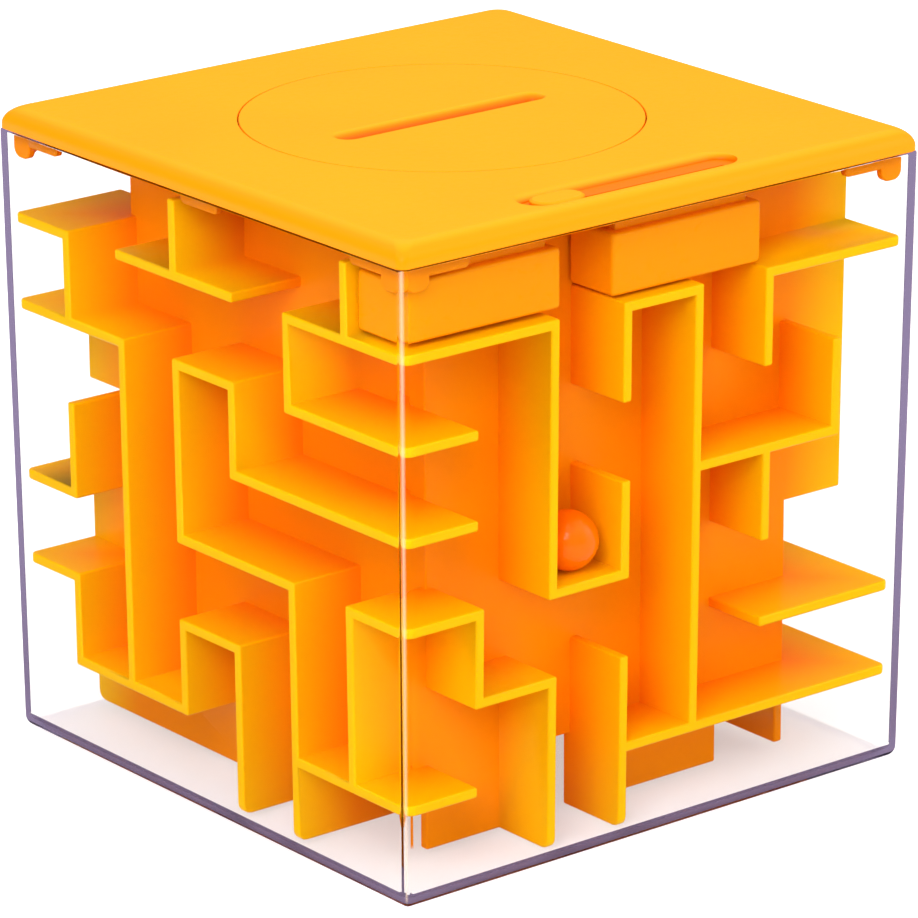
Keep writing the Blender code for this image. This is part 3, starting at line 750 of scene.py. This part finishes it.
def add_area(name, size, power, location, target):
    data = bpy.data.lights.new(name, "AREA")
    data.shape = "SQUARE"
    data.size = size
    data.energy = power
    lamp = bpy.data.objects.new(name, data)
    lamp.location = location
    aim = Vector(target) - Vector(location)
    lamp.rotation_euler = aim.to_track_quat("-Z", "Y").to_euler()
    bpy.context.scene.collection.objects.link(lamp)
    return lamp


def build_light():
    """A sky that is bright overhead and dim below, with a soft box on each side of the camera."""
    world = bpy.data.worlds.new("studio")
    bpy.context.scene.world = world
    world.use_nodes = True
    tree = world.node_tree
    place = tree.nodes.new("ShaderNodeTexCoord")
    split = tree.nodes.new("ShaderNodeSeparateXYZ")
    tree.links.new(place.outputs["Generated"], split.inputs["Vector"])
    sky = ramp(tree, split.outputs["Z"], ((0.35, grey(0.12)), (0.75, grey(1.0))))
    tree.links.new(sky, tree.nodes["Background"].inputs["Color"])
    tree.nodes["Background"].inputs["Strength"].default_value = WORLD_STRENGTH
    middle = (0.0, 0.0, 0.045)
    add_area("key_soft_box", 0.5, 4.9, (-0.68, -0.55, 0.6), middle)
    add_area("fill_soft_box", 0.6, 3.4, (0.8, -0.6, 0.4), middle)


def build_camera():
    """The camera that the object's own proportions give: a long lens, low, from the front left corner."""
    azimuth = math.radians(VIEW_AZIMUTH)
    elevation = math.radians(VIEW_ELEVATION)
    back = Vector((
        math.sin(azimuth) * math.cos(elevation),
        -math.cos(azimuth) * math.cos(elevation),
        math.sin(elevation),
    ))
    forward = -back
    right = forward.cross(Vector((0.0, 0.0, 1.0))).normalized()
    up = right.cross(forward)
    forward = (forward + right * VIEW_YAW + up * VIEW_PITCH).normalized()
    right = forward.cross(up).normalized()
    up = right.cross(forward)
    tilted = right * math.cos(VIEW_ROLL) + up * math.sin(VIEW_ROLL)
    up = tilted.cross(forward)
    data = bpy.data.cameras.new("photo_camera")
    data.sensor_width = 36.0
    data.lens = LENS
    data.clip_start = 0.01
    camera = bpy.data.objects.new("photo_camera", data)
    bpy.context.scene.collection.objects.link(camera)
    camera.location = Vector(VIEW_TARGET) + back * VIEW_DISTANCE
    camera.rotation_euler = Matrix((tilted, up, -forward)).transposed().to_euler()
    bpy.context.scene.camera = camera


build_camera()
build_stage()
build_light()
bpy.context.scene.view_settings.view_transform = "Standard"

build_case()
core = refine_node("maze_core", "maze_core_fine", CORE_EDGE)
finish_piece(core, "case", "orange_plastic", CORE_PLASTIC, "maze_core")
build_lid()
build_disc()
build_ball()
for node, body, material in (
    ("driver_block", "slider", BLOCK_PLASTIC),
    ("bolt_block", "bolt", BLOCK_PLASTIC),
    ("latch_button", "slider", LID_PLASTIC),
    ("slider_retainer", "lid", BLOCK_PLASTIC),
):
    piece = refine_node(node, node + "_fine", BLOCK_EDGE, 2)
    finish_piece(piece, body, "orange_moving", material, node)
for node in ("retainer_screw_1", "retainer_screw_2"):
    piece = refine_node(node, node + "_fine", SCREW_EDGE, 2)
    finish_piece(piece, "lid", "screw_steel", SCREW_STEEL, node)
